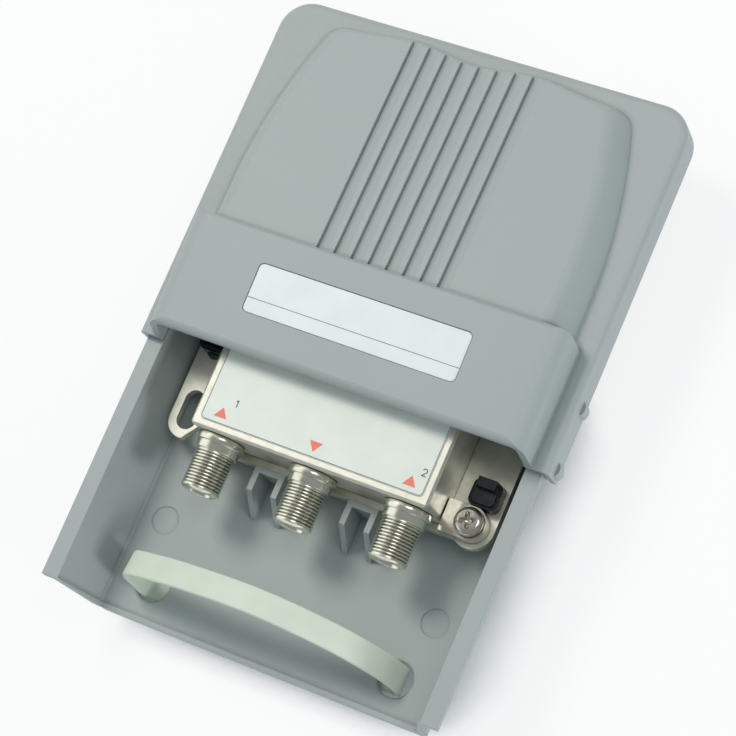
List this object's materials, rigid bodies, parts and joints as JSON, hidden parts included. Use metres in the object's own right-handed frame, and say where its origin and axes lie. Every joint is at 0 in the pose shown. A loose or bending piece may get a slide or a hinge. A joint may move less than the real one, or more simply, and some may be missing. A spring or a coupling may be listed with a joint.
{
  "type": "satellite switch",
  "caption": "Coaxial satellite switch box with threaded ports in a moulded weather housing whose domed cover slides along the tray's rim; earth terminal and cable tie.",
  "frame": {"origin": "middle of the overall box in plan, at the feet of the back ribs", "axes": "+Z from the back towards the cover, -Y out of the ports, +Y the way the cover opens"},
  "size_m": [0.1092, 0.154, 0.0396],
  "materials": {
    "housing_plastic": "matte",
    "label_foil": "satin",
    "nickel_casting": "satin",
    "nickel_turned": "polished",
    "insulator_plastic": "satin",
    "contact_bronze": "satin",
    "board_laminate": "satin",
    "component_black": "matte",
    "capacitor_ceramic": "satin",
    "tinned_steel": "satin",
    "peg_plastic": "satin",
    "tie_nylon": "satin"
  },
  "bodies": {
    "tray": {"base_tray": "housing_plastic", "switch_housing": "nickel_casting", "switch_plate": "nickel_casting", "switch_label": "label_foil", "port_body_left": "nickel_turned", "port_body_centre": "nickel_turned", "port_body_right": "nickel_turned", "port_insulator_left": "insulator_plastic", "port_insulator_centre": "insulator_plastic", "port_insulator_right": "insulator_plastic", "port_contact_left": "contact_bronze", "port_contact_centre": "contact_bronze", "port_contact_right": "contact_bronze", "circuit_board": "board_laminate", "control_chip": "component_black", "switch_diodes": "component_black", "supply_chokes": "component_black", "chip_capacitors": "capacitor_ceramic", "voltage_regulator": "component_black", "shield_fence": "tinned_steel", "board_screws": "tinned_steel", "plate_screws": "tinned_steel", "fixing_peg_right": "peg_plastic", "fixing_peg_left": "peg_plastic", "cable_tie": "tie_nylon"},
    "cover": {"weather_cover": "housing_plastic", "cover_label": "label_foil"},
    "clamp": {"earth_clamp": "nickel_turned"},
    "screw": {"earth_screw": "nickel_turned"}
  },
  "joints": [
    {"name": "cover_slide", "type": "slide", "parent": "tray", "child": "cover", "axis": [0, 1, 0], "range_m": [-0.0627, 0.026]},
    {"name": "clamp_lift", "type": "slide", "parent": "tray", "child": "clamp", "axis": [0, 0, 1], "range_m": [0, 0.0025]},
    {"name": "screw_turn", "type": "hinge", "parent": "clamp", "child": "screw", "pos_m": [0.0382, -0.0292, 0.0195], "axis": [0, 0, 1], "range_deg": [0, 1500]}
  ],
  "couplings": [
    {"joint": "screw_turn", "follows": "clamp_lift", "rad_per_m": 10472}
  ]
}
